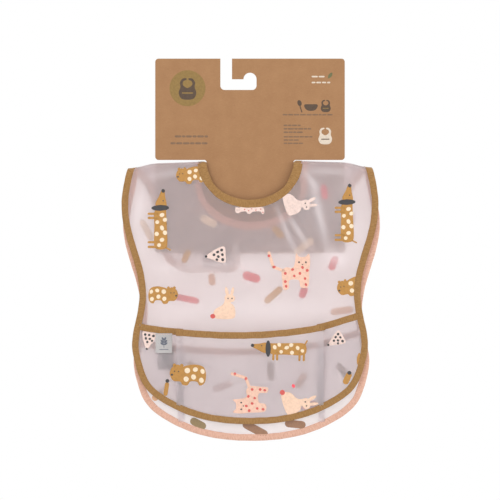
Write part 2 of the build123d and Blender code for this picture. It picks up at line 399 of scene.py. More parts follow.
def calm(bib, u, v):
    """1 where the film hangs free, falling to 0 where the pocket and the fold hold it flat."""
    above_pocket = smoothstep((v - mouth_v(bib, u)) / 16.0)
    under_fold = smoothstep((bib["fold_v"] - sag(bib, u) - v) / 16.0)
    return above_pocket * under_fold


def on_front(bib, u, v, lift):
    """The body of a bib: a hanging sheet, then the front half of the ring over the card."""
    fold = bib["fold_v"] - sag(bib, u)
    radius, middle = ring(bib, u)
    angle = np.clip((v - fold) / radius, 0.0, None)
    wave = fold_height(bib, u, v) * calm(bib, u, v)
    out = radius + lift
    y = np.where(v > fold, middle - out * np.cos(angle), bib["film_y"] - wave - lift)
    return in_pack(bib, u, y, np.where(v > fold, fold + out * np.sin(angle), v))


def on_strap(bib, side, u, v, lift):
    """A strap drawn as a right-hand one: behind the card, then the back half of the ring."""
    fold = bib["fold_v"] - sag(bib, u)
    radius, middle = ring(bib, SIGN[side])
    angle = np.clip((v - fold) / radius, 0.0, None)
    wave = 0.12 * np.sin(u / 11.0) * np.cos(v / 13.0) * smoothstep((fold - v) / 16.0)
    out = radius + lift
    y = np.where(v > fold, middle + out * np.cos(angle), bib["strap_y"][side] + wave + lift)
    return in_pack(bib, SIGN[side] * u, y, np.where(v > fold, fold + out * np.sin(angle), v))


def on_panel(bib, u, v, lift):
    """The pocket's front panel: flat on the rim, then leaning forward above its lower fold."""
    lean = math.radians(bib["pocket_lean"])
    hinge_v = POCKET_HINGE_V - bib["drop"]
    up = v - hinge_v
    height = mouth_v(bib, u) - hinge_v
    across = np.clip(1 - (u / PANEL_HALF_WIDTH) ** 2, 0.0, 1.0)
    out = lift + bib["pocket_bulge"] * np.sin(math.pi * np.clip(up / height, 0, 1)) * across
    rim_y = bib["film_y"] - FILM_THICK
    meeting = rim_y + (bib["hinge_y"] - rim_y) * smoothstep((up + 8.0) / 8.0)
    y = np.where(up > 0, bib["hinge_y"] - up * math.sin(lean) - out * math.cos(lean), meeting - lift)
    return in_pack(bib, u, y, np.where(up > 0, hinge_v + up * math.cos(lean) - out * math.sin(lean), v))


def on_wing(bib, u, v, lift):
    """The pocket's film beside the panel, which lies on the body."""
    return in_pack(bib, u, bib["film_y"] - FILM_THICK - lift, v)


def on_gusset(bib, side, u, v, lift):
    """The pleat between the wing's fold, where u is 0, and the panel's edge, at the pleat's width."""
    sign = SIGN[side]
    inner = on_wing(bib, np.full_like(u, sign * PLEAT_FOLD_U), v, 0.0 * u)
    outer = on_panel(bib, np.full_like(u, sign * PANEL_HALF_WIDTH), v, 0.0 * u)
    points = inner + (outer - inner) * (u / PLEAT_WIDTH)[:, None]
    points[:, 0] += sign * 0.7 * lift
    points[:, 1] -= 0.7 * lift
    return points


def on_card(u, v, lift):
    """The front face of the card."""
    y = np.full_like(u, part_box("header_card")[0].y / MM) - lift
    return np.stack([u, y, v + SHOULDER_Z], axis=1)


def on_label(bib, u, v, lift):
    """The label, whose lower edge stands a little off the film."""
    down = (LABEL_TOP - bib["drop"] - v) / LABEL_HEIGHT
    base = bib["film_y"] - 1.5 * FILM_THICK - bib["label_gap"]
    return in_pack(bib, u, base - lift - 0.8 * down**2 * (bib["label_gap"] > 0), v)


# ---------------------------------------------------------------- meshes
def make_object(name, points, faces, materials, face_materials=None, flat_map=None):
    """Closed mesh in metres, with outward normals, sharp rims and an optional flat UV map."""
    mesh = bpy.data.meshes.new(name)
    mesh.from_pydata((np.array(points) * MM).tolist(), [], faces)
    for material in materials:
        mesh.materials.append(material)
    if face_materials is not None:
        mesh.polygons.foreach_set("material_index", face_materials)
    if flat_map is not None:
        layer = mesh.uv_layers.new(name="Flat")
        corners = np.zeros(len(mesh.loops), dtype=np.int32)
        mesh.loops.foreach_get("vertex_index", corners)
        layer.data.foreach_set("uv", (np.array(flat_map)[corners] * MM).astype(np.float32).ravel())
    work = bmesh.new()
    work.from_mesh(mesh)
    bmesh.ops.recalc_face_normals(work, faces=work.faces)
    for face in work.faces:
        face.smooth = True
    for edge in work.edges:
        edge.smooth = edge.calc_face_angle(0.0) < math.radians(50)
    work.to_mesh(mesh)
    work.free()
    piece = bpy.data.objects.new(name, mesh)
    bpy.context.scene.collection.objects.link(piece)
    return piece


def inside(points, loop):
    """Which points lie inside an outline."""
    x, y = points[:, 0][:, None], points[:, 1][:, None]
    x0, y0 = loop[:, 0], loop[:, 1]
    x1, y1 = np.roll(x0, -1), np.roll(y0, -1)
    rise = np.where(y1 == y0, 1e-12, y1 - y0)
    crosses = ((y0 > y) != (y1 > y)) & (x < (x1 - x0) * (y - y0) / rise + x0)
    return crosses.sum(axis=1) % 2 == 1


def triangles_of(loop, step):
    """Even triangles that fill an outline: points, corners, and the outline's edges."""
    loop = np.array(loop, float)
    low, high = loop.min(axis=0), loop.max(axis=0)
    grid = [
        (u, v)
        for row, v in enumerate(np.arange(low[1] + step / 2, high[1], step * 0.87))
        for u in np.arange(low[0] + (step / 2 if row % 2 else step), high[0], step)
    ]
    grid = np.array(grid).reshape(-1, 2)
    grid = grid[inside(grid, loop)]
    gap = np.min(np.linalg.norm(grid[:, None, :] - loop[None, :, :], axis=2), axis=1)
    grid = grid[gap > 0.55 * step]
    points = [Vector(p) for p in loop] + [Vector(p) for p in grid]
    ring_edges = [(i, (i + 1) % len(loop)) for i in range(len(loop))]
    found = delaunay_2d_cdt(points, ring_edges, [], 0, 1e-5)
    flat = np.array([tuple(p) for p in found[0]])
    corners = np.array([f for f in found[2] if len(f) == 3])
    corners = corners[inside(flat[corners].mean(axis=1), loop)]
    used, corners = np.unique(corners, return_inverse=True)
    return flat[used], corners.reshape(-1, 3)


def thicken(flat, corners, place, front, back):
    """Points and faces of a thin closed plate from a filled outline."""
    count = len(flat)
    u, v = flat[:, 0], flat[:, 1]
    points = np.concatenate([place(u, v, np.full(count, front)), place(u, v, np.full(count, back))])
    faces = [tuple(c) for c in corners.tolist()]
    faces += [(c + count, b + count, a + count) for a, b, c in corners.tolist()]
    edges = {edge for a, b, c in corners.tolist() for edge in ((a, b), (b, c), (c, a))}
    faces += [(b, a, a + count, b + count) for a, b in sorted(edges) if (b, a) not in edges]
    return points, faces


def flat_area(loop):
    """Area of an outline in square metres."""
    x, y = loop[:, 0], loop[:, 1]
    return abs(np.dot(x, np.roll(y, -1)) - np.dot(y, np.roll(x, -1))) / 2 * MM * MM


def sheet_object(name, loop, place, material, thick=FILM_THICK, step=SHEET_STEP, centre=0.0, painted_highlight=None):
    """A thin sheet cut to an outline."""
    flat, corners = triangles_of(loop, step)
    points, faces = thicken(flat, corners, place, centre + thick / 2, centre - thick / 2)
    both = np.concatenate([flat, flat])
    if material in FILMS.values():
        back = [int(len(corners) <= i < 2 * len(corners)) for i in range(len(faces))]
        piece = make_object(name, points, faces, [material, FILM_BACK], back, both)
    else:
        piece = make_object(name, points, faces, [material], flat_map=both)
    # Per-point strength of the painted highlight, which the film material turns into whiter, less clear film
    if painted_highlight is not None:
        values = np.clip(painted_highlight(both[:, 0], both[:, 1]), 0.0, 1.0).astype(np.float32)
        piece.data.attributes.new("PaintedHighlight", "FLOAT", "POINT").data.foreach_set("value", values)
    size = (loop.max(axis=0) - loop.min(axis=0)) * MM
    piece["flat_size"] = [float(size[0]), float(size[1])]
    piece["flat_area"] = float(flat_area(loop))
    return piece


# Section of the folded tape, from its outer fold to its inner edge: place across, half thickness
TAPE_SECTION = [
    (0.0, 0.0), (0.02, 0.5), (0.09, 0.86), (0.3, 1.0), (0.58, 0.97), (0.73, 0.8), (SEAM_PLACE, 0.66),
    (0.87, 0.84), (0.96, 0.78), (1.0, 0.32),
]


def wander(along, length, seed):
    """Slow smooth variation along a line, from -1 to 1."""
    draw = random.Random(seed)
    phases = [draw.uniform(0, 2 * math.pi) for _ in range(3)]
    waves = [np.sin(2 * math.pi * along / (length * k) + p) for k, p in zip((1.0, 0.61, 0.37), phases)]
    return (waves[0] + 0.6 * waves[1] + 0.4 * waves[2]) / 2.0


def tape_object(name, edge, place, material, extra=None, swell=None, thick=TAPE_THICK, seed=1):
    """Folded tape over an edge, swept along it, puckered where it is sewn."""
    path = resample(edge, TAPE_STEP)
    normals = left_normals(path)
    along = lengths_along(path)
    widths = TAPE_WIDTH * (1 + 0.02 * wander(along, 37.0, seed))
    if extra is not None:
        widths = widths + extra(path)
    wobble = 0.12 * wander(along, 23.0, seed + 1)
    body = 1 + 0.07 * wander(along, 11.0, seed + 2)
    if swell is not None:
        body = body * swell(path)
    pucker = 1 - 0.14 * np.abs(np.sin(math.pi * along / STITCH_PITCH))
    section = TAPE_SECTION + [(d, -h) for d, h in reversed(TAPE_SECTION[1:])]
    columns, lifts, across = [], [], []
    for d, h in section:
        offset = widths * d + wobble
        columns.append(path + normals * offset[:, None])
        near_seam = math.exp(-(((d - SEAM_PLACE) / 0.1) ** 2))
        lifts.append(h * thick / 2 * body * (1 - near_seam + near_seam * pucker))
        side = 1 if h >= 0 else -1
        across.append(np.stack([along, side * d * widths], axis=1))
    flat = np.stack(columns, axis=1).reshape(-1, 2)
    points = place(flat[:, 0], flat[:, 1], np.stack(lifts, axis=1).ravel())
    count, rows = len(section), len(path)
    faces = []
    for i in range(rows - 1):
        for k in range(count):
            a, b = i * count + k, i * count + (k + 1) % count
            faces.append((a, b, b + count, a + count))
    faces.append(tuple(range(count - 1, -1, -1)))
    faces.append(tuple((rows - 1) * count + k for k in range(count)))
    return make_object(name, points, faces, [material], flat_map=np.stack(across, axis=1).reshape(-1, 2))


# One stitch, from end to end: share of its length, share of its radius, and rise off the tape
STITCH_RINGS = [(0.14, 0.8, -0.05), (0.5, 1.0, 0.06), (0.86, 0.8, -0.05)]
STITCH_END_RISE = -0.3
STITCH_SIDES = 6


def stitch_shape():
    """Points of one stitch, as shares of its length with offsets across and up, and its faces."""
    turns = np.linspace(0.0, 2 * math.pi, STITCH_SIDES, endpoint=False)
    points = [(0.0, 0.0, STITCH_END_RISE)]
    for share, size, rise in STITCH_RINGS:
        radius = size * STITCH_RADIUS
        points += [(share, radius * math.cos(t), rise + radius * math.sin(t)) for t in turns]
    points.append((1.0, 0.0, STITCH_END_RISE))
    last = len(points) - 1
    faces = []
    for k in range(STITCH_SIDES):
        a, b = 1 + k, 1 + (k + 1) % STITCH_SIDES
        faces.append((0, a, b))
        for _ in STITCH_RINGS[1:]:
            faces.append((a, a + STITCH_SIDES, b + STITCH_SIDES, b))
            a, b = a + STITCH_SIDES, b + STITCH_SIDES
        faces.append((b, a, last))
    return np.array(points), np.array([f if len(f) == 4 else (*f, f[0]) for f in faces])


def thread_object(name, edge, place, material, inward, lifts, pitch=STITCH_PITCH):
    """A row of stitches beside an edge, on each of the faces whose lifts are given."""
    path = resample(edge, 1.0)
    normals, along = left_normals(path), lengths_along(path)
    stitch, corners = stitch_shape()
    starts = np.arange(pitch / 2, along[-1] - STITCH_LENGTH, pitch)
    at = (starts[:, None] + stitch[:, 0] * STITCH_LENGTH).ravel()
    aside = inward + np.tile(stitch[:, 1], len(starts))
    u, v = (np.interp(at, along, path[:, i]) + np.interp(at, along, normals[:, i]) * aside for i in (0, 1))
    rise = np.tile(stitch[:, 2], len(starts))
    points = np.concatenate([place(u, v, lift + math.copysign(1.0, lift) * rise) for lift in lifts])
    faces = []
    for base in range(0, len(points), len(stitch)):
        faces += [tuple(dict.fromkeys(face)) for face in (corners + base).tolist()]
    return make_object(name, points, faces, [material])


# ---------------------------------------------------------------- materials
def srgb(red, green, blue):
    """Linear colour from the usual 0 to 255 numbers."""
    out = []
    for c in (red, green, blue):
        c /= 255.0
        out.append(c / 12.92 if c <= 0.04045 else ((c + 0.055) / 1.055) ** 2.4)
    return (*out, 1.0)


class Shader:
    """A material with a Principled node and short calls to add the nodes that feed it."""

    def __init__(self, name, **values):
        self.material = bpy.data.materials.new(name)
        self.material.use_nodes = True
        self.tree = self.material.node_tree
        self.main = self.tree.nodes["Principled BSDF"]
        self.feed(**values)

    def wire(self, sockets, values):
        """Sets each socket to its value, or links it where the value is another node's output."""
        for socket, value in zip(sockets, values):
            if isinstance(value, bpy.types.NodeSocket):
                self.tree.links.new(value, socket)
            else:
                socket.default_value = value

    def feed(self, node=None, **inputs):
        sockets = (node or self.main).inputs
        self.wire([sockets[name.replace("_", " ")] for name in inputs], inputs.values())

    def node(self, kind, settings=None, **inputs):
        made = self.tree.nodes.new(kind)
        for key, value in (settings or {}).items():
            setattr(made, key, value)
        self.feed(made, **inputs)
        return made

    def place(self, uv=False):
        if uv:
            return self.node("ShaderNodeUVMap", {"uv_map": "Flat"}).outputs["UV"]
        return self.node("ShaderNodeTexCoord").outputs["Object"]

    def turned(self, vector, angle, scale=(1.0, 1.0, 1.0), axis=2):
        rotation = [0.0, 0.0, 0.0]
        rotation[axis] = angle
        return self.node("ShaderNodeMapping", Vector=vector, Rotation=rotation, Scale=scale).outputs[0]

    def noise(self, vector, scale, detail=2.0, rough=0.5):
        made = self.node("ShaderNodeTexNoise", Vector=vector, Scale=scale, Detail=detail, Roughness=rough)
        return made.outputs["Fac"]

    def wave(self, vector, scale, distort=0.0):
        return self.node("ShaderNodeTexWave", Vector=vector, Scale=scale, Distortion=distort).outputs["Fac"]

    def ramp(self, factor, *stops):
        made = self.node("ShaderNodeValToRGB", Fac=factor)
        elements = made.color_ramp.elements
        while len(elements) < len(stops):
            elements.new(0.5)
        for element, (position, colour) in zip(elements, stops):
            element.position = position
            element.color = colour
        return made.outputs["Color"]

    def levels(self, factor, low, high, start, end):
        """Goes from the start to the end value as the factor goes from low to high."""
        return self.ramp(factor, (low, (start, start, start, 1)), (high, (end, end, end, 1)))

    def math(self, operation, a, b):
        made = self.node("ShaderNodeMath", {"operation": operation})
        self.wire(made.inputs, (a, b))
        return made.outputs[0]

    def mix(self, factor, a, b):
        made = self.node("ShaderNodeMixRGB")
        self.wire(made.inputs, (factor, a, b))
        return made.outputs[0]

    def bump(self, height, strength, distance):
        made = self.node("ShaderNodeBump", Height=height, Strength=strength, Distance=distance)
        self.feed(Normal=made.outputs["Normal"])


def kraft_board():
    """Brown recycled board: cloudy colour, long pale and dark fibres, small specks."""
    s = Shader("kraft_board", Roughness=0.82)
    at = s.place()
    pale = s.noise(s.turned(at, 0.5, (260.0, 1.0, 1900.0), 1), 1.0, 3.0, 0.65)
    dark = s.noise(s.turned(at, -0.7, (300.0, 1.0, 2100.0), 1), 1.0, 3.0, 0.65)
    specks = s.noise(at, 1500.0, 1.0)
    cloud = s.noise(at, 60.0, 4.0, 0.6)
    colour = s.ramp(cloud, (0.3, srgb(160, 117, 79)), (0.7, srgb(167, 124, 85)))
    colour = s.mix(s.levels(pale, 0.56, 0.7, 0.0, 0.35), colour, srgb(190, 150, 110))
    colour = s.mix(s.levels(dark, 0.58, 0.72, 0.0, 0.3), colour, srgb(132, 96, 66))
    colour = s.mix(s.levels(specks, 0.7, 0.76, 0.0, 0.35), colour, srgb(104, 74, 50))
    s.feed(Base_Color=colour)
    s.bump(s.math("ADD", pale, dark), 0.25, 0.0002)
    return s.material


def frosted_film(name, clear, tint, deep):
    """Soft frosted film: a pale veil that blurs what lies behind it, with a painted highlight that makes it
    whiter and less clear where it is creased.
    """
    s = Shader(name, IOR=1.4, Coat_Weight=0.25, Coat_Roughness=0.25)
    at = s.place(uv=True)
    cloud = s.noise(at, 28.0, 3.0, 0.55)
    # Painted highlight: where its strength is high, the film is made less clear and its colour is mixed
    # towards white, standing for light that its creases catch
    painted_highlight = s.node("ShaderNodeAttribute", {"attribute_name": "PaintedHighlight"}).outputs["Fac"]
    veil = s.math("SUBTRACT", clear, s.math("MULTIPLY", painted_highlight, 0.5))
    s.feed(Transmission_Weight=s.math("ADD", veil, s.math("MULTIPLY", cloud, 0.06)))
    s.feed(Base_Color=s.mix(painted_highlight, s.ramp(cloud, (0.3, deep), (0.75, tint)), srgb(252, 243, 245)))
    s.feed(Roughness=s.levels(cloud, 0.3, 0.7, 0.5, 0.6))
    slack = s.math("MULTIPLY", s.noise(at, 70.0, 2.0), 6.0)
    s.bump(s.math("ADD", slack, s.noise(at, 2600.0, 2.0)), 0.12, 0.0001)
    glow = s.node("ShaderNodeBsdfTranslucent", Color=srgb(250, 240, 238))
    both = s.node("ShaderNodeMixShader")
    s.wire(both.inputs, (FILM_GLOW, s.main.outputs[0], glow.outputs[0]))
    s.feed(s.tree.nodes["Material Output"], Surface=both.outputs[0])
    return s.material


def film_back():
    """The smooth face of the film: clear, so that only the frosted face blurs."""
    s = Shader("film_back")
    clear = s.node("ShaderNodeBsdfTransparent", Color=(0.99, 0.985, 0.99, 1.0))
    s.feed(s.tree.nodes["Material Output"], Surface=clear.outputs[0])
    s.tree.nodes.remove(s.main)
    return s.material


def bias_tape(name, shade, dark, light):
    """Cotton tape cut on the bias: a fine plain weave at 45 degrees with slubs and worn edges."""
    s = Shader(name, Roughness=0.9, Sheen_Weight=0.25, Sheen_Roughness=0.5)
    at = s.place(uv=True)
    warp, weft = (s.wave(s.turned(at, math.radians(turn)), 520.0, 0.6) for turn in (45, -45))
    weave = s.math("MAXIMUM", warp, weft)
    slubs = s.noise(s.turned(at, math.radians(45), (900.0, 260.0, 1.0)), 1.0, 3.0, 0.6)
    cloud = s.noise(at, 180.0, 3.0, 0.6)
    colour = s.ramp(slubs, (0.3, dark), (0.5, shade), (0.72, light))
    colour = s.mix(s.math("MULTIPLY", cloud, 0.5), colour, shade)
    s.feed(Base_Color=s.mix(s.levels(weave, 0.2, 0.8, 0.5, 0.0), colour, dark))
    s.bump(s.math("ADD", weave, s.math("MULTIPLY", slubs, 1.5)), 0.6, 0.00018)
    return s.material


def sewing_thread(name, dark, light):
    """Twisted thread."""
    s = Shader(name, Roughness=0.7, Sheen_Weight=0.2)
    twist = s.noise(s.place(), 2500.0, 1.0)
    s.feed(Base_Color=s.ramp(twist, (0.35, dark), (0.65, light)))
    s.bump(twist, 0.4, 0.0001)
    return s.material


def printing_ink(name, colour, rough):
    """Screen print with a slightly uneven lay-down."""
    s = Shader(name, Roughness=rough)
    dabs = s.noise(s.place(), 420.0, 3.0, 0.6)
    deeper = (*(c * 0.86 for c in colour[:3]), 1.0)
    s.feed(Base_Color=s.ramp(dabs, (0.35, deeper), (0.6, colour)))
    s.bump(dabs, 0.15, 0.00005)
    return s.material


def woven_label():
    """Damask label: fine rows of thread."""
    s = Shader("woven_label", Roughness=0.75, Sheen_Weight=0.2)
    at = s.place(uv=True)
    rows = s.wave(s.turned(at, math.radians(90)), 640.0, 0.4)
    cloth = s.math("MULTIPLY", rows, s.wave(at, 760.0, 0.4))
    fine = s.math("MULTIPLY", s.noise(at, 900.0, 3.0), 0.5)
    uneven = s.math("ADD", s.math("MULTIPLY", cloth, 0.5), fine)
    s.feed(Base_Color=s.ramp(uneven, (0.2, srgb(172, 168, 168)), (0.6, srgb(206, 202, 200))))
    s.bump(cloth, 0.6, 0.0001)
    return s.material


def pile(name, dark, light, scale):
    """Hook or loop tape: a dense short pile."""
    s = Shader(name, Roughness=0.95, Sheen_Weight=0.3)
    at = s.place()
    cells = s.node("ShaderNodeTexVoronoi", Vector=at, Scale=scale).outputs["Distance"]
    height = s.math("ADD", cells, s.noise(at, scale * 2.2, 3.0, 0.7))
    s.feed(Base_Color=s.ramp(height, (0.45, dark), (1.0, light)))
    s.bump(height, 0.9, 0.0005)
    return s.material


FILM_GLOW = 0.16  # share of light that the film spreads to its other side
FILMS = {
    "front": frosted_film("front_film", 0.66, srgb(235, 223, 225), srgb(228, 215, 217)),
    "rear": frosted_film("rear_film", 0.46, srgb(250, 242, 238), srgb(244, 236, 231)),
    "pocket": frosted_film("pocket_film", 0.76, srgb(252, 250, 251), srgb(249, 245, 247)),
    "pleat": frosted_film("pleat_film", 0.86, srgb(252, 246, 248), srgb(248, 240, 243)),
}
FILM_BACK = film_back()
LABEL_CLOTH = woven_label()
PILES = {
    "hook": pile("hook_pile", srgb(196, 190, 182), srgb(236, 232, 226), 900.0),
    "loop": pile("loop_pile", srgb(200, 195, 188), srgb(240, 238, 233), 520.0),
}
TAPES = {
    "mustard_binding": bias_tape("mustard_tape", srgb(163, 121, 69), srgb(134, 96, 50), srgb(184, 143, 90)),
    "pink_binding": bias_tape("pink_tape", srgb(226, 178, 156), srgb(198, 148, 126), srgb(240, 202, 184)),
}
THREADS = {
    "mustard_binding": sewing_thread("mustard_thread", srgb(146, 106, 58), srgb(172, 130, 78)),
    "pink_binding": sewing_thread("pink_thread", srgb(214, 166, 146), srgb(236, 194, 176)),
}
FILM_INKS = {
    "brown": (190, 138, 68),
    "cream": (247, 226, 196),
    "peach": (244, 200, 178),
    "coral": (218, 94, 88),
    "pale": (240, 214, 204),
    "sand": (247, 210, 184),
    "night": (66, 64, 66),
    "red": (238, 52, 58),
    "rose": (250, 96, 108),
    "olive": (150, 128, 92),
    "umber": (158, 118, 92),
    "tan": (230, 182, 142),
    "gold": (216, 164, 66),
}
DRY_INKS = {
    "card_olive": (148, 119, 68),
    "card_dark": (92, 74, 60),
    "card_grey": (133, 104, 80),
    "card_white": (222, 206, 188),
    "card_leaf": (112, 112, 76),
    "label_mark": (108, 112, 124),
}
INKS = {ink: printing_ink(f"ink_{ink}", srgb(*colour), 0.5) for ink, colour in FILM_INKS.items()}
INKS |= {ink: printing_ink(f"ink_{ink}", srgb(*colour), 0.8) for ink, colour in DRY_INKS.items()}


# ---------------------------------------------------------------- printed shapes
def oval(u, v, ru, rv, turn=0.0, colour="brown", layer=0):
    count = max(10, int(6 * math.sqrt(max(ru, rv)) + 8))
    t = np.linspace(0, 2 * math.pi, count, endpoint=False)
    x, y = ru * np.cos(t), rv * np.sin(t)
    c, s = math.cos(turn), math.sin(turn)
    return {"loop": np.stack([u + x * c - y * s, v + x * s + y * c], 1), "colour": colour, "layer": layer}


def capsule(u0, v0, u1, v1, radius, colour="brown", layer=0):
    heading = math.atan2(v1 - v0, u1 - u0)
    turns = heading + np.linspace(-math.pi / 2, math.pi / 2, 7)
    cap = radius * np.stack([np.cos(turns), np.sin(turns)], axis=1)
    return {"loop": np.concatenate([(u1, v1) + cap, (u0, v0) - cap]), "colour": colour, "layer": layer}


def blob(points, colour="brown", layer=0):
    return {"loop": closed_curve(points), "colour": colour, "layer": layer}


def dots(places, radius, colour, layer=2):
    """Uneven round dots."""
    draw = random.Random(len(places))
    made = []
    for u, v in places:
        ru, rv = radius * draw.uniform(0.8, 1.15), radius * draw.uniform(0.8, 1.1)
        made.append(oval(u, v, ru, rv, 0.4, colour, layer))
    return made


def eyes(*places, ru=0.02, rv=0.024):
    return [oval(u, v, ru, rv, 0.0, "night", 2) for u, v in places]


def long_dog():
    """Low long dog that looks left, one unit from nose to tail."""
    outline = [
        (0.0, 0.02), (0.12, 0.035), (0.24, 0.06), (0.34, 0.05), (0.6, 0.06), (0.93, 0.07), (1.0, 0.0),
        (0.99, -0.12), (0.9, -0.155), (0.6, -0.15), (0.4, -0.155), (0.3, -0.12), (0.22, -0.13),
        (0.1, -0.07), (0.01, -0.03),
    ]
    spots = [
        (0.42, -0.02), (0.5, 0.03), (0.54, -0.1), (0.64, -0.02), (0.72, 0.03), (0.74, -0.11), (0.84, -0.02),
        (0.93, -0.07),
    ]
    legs = [capsule(x, -0.1, x, -0.245, 0.02) for x in (0.4, 0.47, 0.88, 0.96)]
    tail = capsule(0.97, 0.04, 1.01, 0.12, 0.013)
    ear = oval(0.3, -0.05, 0.05, 0.155, 0.03, "night", 2)
    nose = oval(0.012, 0.0, 0.034, 0.032, 0, "night", 2)
    shapes = [blob(outline), *legs, tail, *dots(spots, 0.04, "cream"), ear, nose]
    return shapes + eyes((0.18, 0.0), ru=0.012, rv=0.012)


def bear():
    """Round bear on all fours that looks left, one unit long."""
    outline = [
        (0.0, -0.02), (0.05, 0.16), (0.2, 0.25), (0.34, 0.2), (0.46, 0.24), (0.7, 0.28), (0.92, 0.22),
        (1.0, 0.02), (0.97, -0.22), (0.84, -0.3), (0.76, -0.2), (0.58, -0.2), (0.5, -0.31), (0.36, -0.3),
        (0.3, -0.22), (0.1, -0.2),
    ]
    spots = [(0.48, 0.1), (0.7, 0.14), (0.9, 0.1), (0.46, -0.14), (0.66, -0.07), (0.88, -0.15)]
    ears = [oval(u, 0.23, 0.05, 0.05) for u in (0.12, 0.32)]
    nose = oval(0.06, -0.04, 0.035, 0.03, 0, "night", 2)
    shapes = [blob(outline), *ears, *dots(spots, 0.075, "cream"), nose]
    return shapes + eyes((0.13, 0.06), (0.24, 0.06), ru=0.018, rv=0.02)


def cat():
    """Standing cat that looks right with its tail up, one unit long."""
    outline = [
        (0.32, 0.02), (0.42, 0.1), (0.58, 0.1), (0.63, 0.26), (0.65, 0.42), (0.73, 0.35), (0.87, 0.35),
        (0.95, 0.42), (0.98, 0.24), (0.96, 0.0), (0.95, -0.28), (0.9, -0.37), (0.76, -0.36), (0.71, -0.2),
        (0.5, -0.2), (0.48, -0.39), (0.36, -0.41), (0.33, -0.2),
    ]
    spots = [
        (0.4, -0.04), (0.57, 0.05), (0.61, -0.1), (0.74, -0.04), (0.91, 0.03), (0.4, -0.23), (0.86, -0.16),
        (0.8, 0.1), (0.88, -0.3), (0.42, -0.34), (0.02, 0.37), (0.14, 0.11),
    ]
    tail = [capsule(0.36, 0.02, 0.12, 0.11, 0.035, "peach"), capsule(0.12, 0.11, 0.02, 0.44, 0.035, "peach")]
    nose = oval(0.8, 0.17, 0.018, 0.012, 0, "night", 2)
    shapes = [blob(outline, "peach"), *tail, *dots(spots, 0.036, "coral")]
    return shapes + eyes((0.72, 0.22), (0.88, 0.22)) + [nose]


def lying_cat():
    """Cat stretched out flat, one unit long."""
    outline = [
        (0.0, 0.02), (0.02, 0.12), (0.14, 0.1), (0.2, 0.12), (0.55, 0.14), (0.9, 0.12), (0.98, 0.04),
        (0.97, -0.1), (0.9, -0.1), (0.84, -0.03), (0.6, -0.04), (0.5, -0.11), (0.42, -0.1), (0.36, -0.03),
        (0.2, -0.04), (0.1, -0.09), (0.02, -0.06),
    ]
    spots = [(0.32, 0.04), (0.45, 0.0), (0.56, 0.06), (0.7, 0.02), (0.86, 0.05), (0.94, -0.06)]
    shapes = [blob(outline, "pale"), *dots(spots, 0.02, "coral")]
    return shapes + eyes((0.06, 0.02), (0.13, 0.02), ru=0.012, rv=0.014)


def rabbit(colour="sand", tail=True):
    """Sitting rabbit with its head at the upper right, one unit high."""
    outline = [
        (-0.3, -0.44), (0.28, -0.46), (0.38, -0.3), (0.34, -0.05), (0.22, 0.06), (0.34, 0.12), (0.36, 0.26),
        (0.2, 0.34), (0.04, 0.28), (0.02, 0.1), (-0.06, -0.02), (-0.3, -0.18),
    ]
    ears = [oval(0.1, 0.42, 0.055, 0.17, 0.2, colour), oval(0.28, 0.42, 0.05, 0.16, -0.2, colour)]
    shapes = [blob(outline, colour), *ears]
    if tail:
        shapes.append(oval(-0.36, -0.38, 0.085, 0.08, 0, "coral", 1))
    return shapes + eyes((0.14, 0.2), (0.27, 0.2), ru=0.022, rv=0.026)


def mouse():
    """Mouse with dots that looks left, one unit long."""
    outline = [
        (-0.5, -0.02), (-0.2, 0.2), (0.1, 0.34), (0.42, 0.4), (0.46, 0.0), (0.42, -0.36), (0.1, -0.32),
        (-0.2, -0.18),
    ]
    spots = [(-0.1, 0.04), (0.08, 0.16), (0.28, 0.24), (0.1, -0.06), (0.3, 0.02), (0.02, -0.2), (0.3, -0.22)]
    nose = oval(-0.48, -0.01, 0.06, 0.06, 0, "night", 2)
    return [blob(outline, "pale"), *dots(spots, 0.078, "night"), nose]


def leaf(colour, layer=1):
    """Pointed leaf, one unit long."""
    outline = [(-0.5, 0), (-0.2, 0.2), (0.15, 0.22), (0.5, 0), (0.15, -0.22), (-0.2, -0.2)]
    return [blob(outline, colour, layer)]


def placed(shapes, u, v, size, turn=0.0, flip=False):
    """Shapes moved into the pattern: scaled, mirrored, turned by degrees, then shifted."""
    c, s = math.cos(math.radians(turn)), math.sin(math.radians(turn))
    out = []
    for shape in shapes:
        x, y = shape["loop"][:, 0] * size * (-1 if flip else 1), shape["loop"][:, 1] * size
        loop = np.stack([u + x * c - y * s, v + x * s + y * c], axis=1)
        around = lengths_along(np.concatenate([loop, loop[:1]]))[-1]
        out.append({**shape, "loop": resample_loop(loop, min(0.9, around / 10))})
    return out


def animals(rows):
    """Drawings placed in a print: drawing, place across and up, size, then turn and mirroring."""
    return [shape for drawing, *where in rows for shape in placed(drawing, *where)]


def cut_off(shapes, low, high):
    """The part of the shapes between two places, as where a seam cuts a print."""
    out = []
    for shape in shapes:
        loop = shape["loop"].copy()
        loop[:, 0] = np.clip(loop[:, 0], low, high)
        if np.ptp(loop[:, 0]) > 0.8:
            out.append({**shape, "loop": loop})
    return out


def bars(rows):
    """Short round-ended bars: middle, length, width, turn in degrees and colour of each."""
    made = []
    for u, v, length, width, turn, colour in rows:
        reach = (length - width) / 2
        du, dv = reach * math.cos(math.radians(turn)), reach * math.sin(math.radians(turn))
        made.append(capsule(u - du, v - dv, u + du, v + dv, width / 2, colour))
    return made


